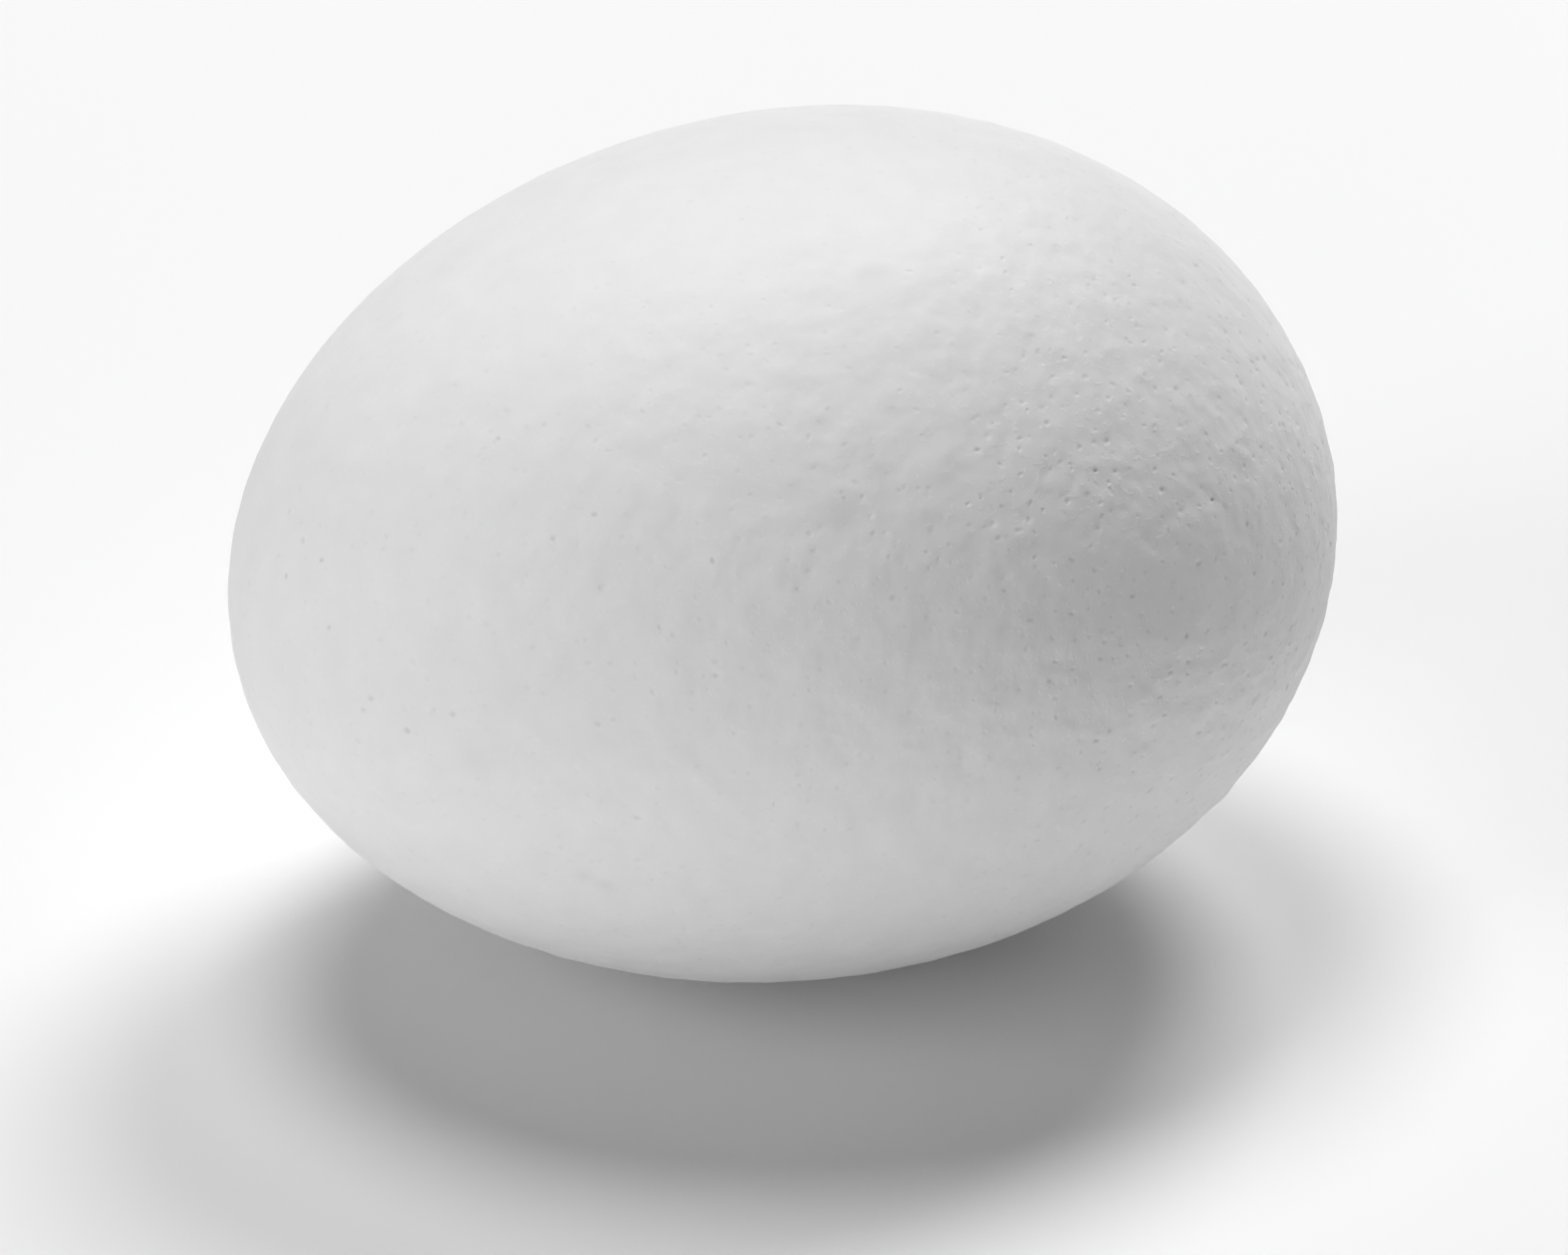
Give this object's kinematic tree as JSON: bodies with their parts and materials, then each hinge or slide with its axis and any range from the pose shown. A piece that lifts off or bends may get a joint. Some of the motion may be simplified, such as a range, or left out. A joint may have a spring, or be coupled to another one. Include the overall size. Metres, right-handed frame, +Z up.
{
  "type": "chicken egg",
  "caption": "Whole hen's egg in a matte pale shell, lying on its side on a small flat spot, pointed end dipping slightly.",
  "frame": {"origin": "centre of the small flat spot under the belly, on the surface that the egg lies on", "axes": "+X along the egg towards its blunt end, +Y across it, +Z up from the surface"},
  "size_m": [0.0569, 0.0442, 0.0441],
  "materials": {
    "shell": "matte"
  },
  "bodies": {
    "root": {"egg": "shell"}
  },
  "joints": []
}
